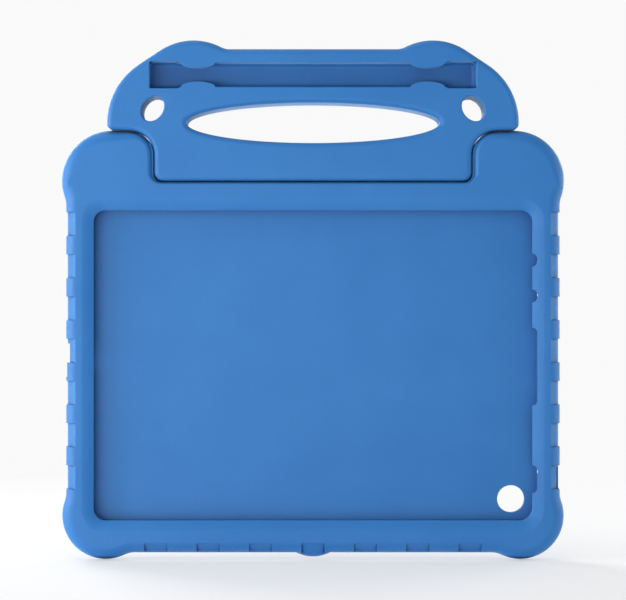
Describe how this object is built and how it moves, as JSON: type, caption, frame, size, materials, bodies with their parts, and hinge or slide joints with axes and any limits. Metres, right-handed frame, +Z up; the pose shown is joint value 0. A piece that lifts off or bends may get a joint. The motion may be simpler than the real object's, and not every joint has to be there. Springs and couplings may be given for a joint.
{
  "type": "tablet case",
  "caption": "Moulded foam tablet case with rounded corners and a carry handle that swings back as a stand and holds a stylus.",
  "frame": {"origin": "midway between the two feet and through the thickness, on the plane the feet stand on", "axes": "+X to the right seen from the front, +Y from the open front to the back, +Z up through the handle"},
  "size_m": [0.2756, 0.023, 0.2841],
  "materials": {
    "blue_foam": "matte moulded foam, fine grain",
    "black_plastic": "moulded, satin",
    "pale_nylon": "moulded, satin",
    "pin_steel": "ground"
  },
  "bodies": {
    "case": {"case_shell": "blue_foam", "back_pad": "blue_foam", "left_shoulder_bush": "pale_nylon", "right_shoulder_bush": "pale_nylon"},
    "handle": {"handle_body": "blue_foam", "hinge_bar": "black_plastic", "left_hinge_pin": "pin_steel", "right_hinge_pin": "pin_steel", "left_friction_ring": "pale_nylon", "right_friction_ring": "pale_nylon"},
    "volume_up": {"volume_up_pad": "blue_foam"},
    "volume_down": {"volume_down_pad": "blue_foam"}
  },
  "joints": [
    {"name": "handle_hinge", "type": "hinge", "parent": "case", "child": "handle", "pos_m": [0, 0.001, 0.2219], "axis": [-1, 0, 0], "range_deg": [0, 100]},
    {"name": "volume_up_press", "type": "slide", "parent": "case", "child": "volume_up", "axis": [0, 0, 1], "range_m": [0, 0.0005]},
    {"name": "volume_down_press", "type": "slide", "parent": "case", "child": "volume_down", "axis": [0, 0, 1], "range_m": [0, 0.0005]}
  ]
}
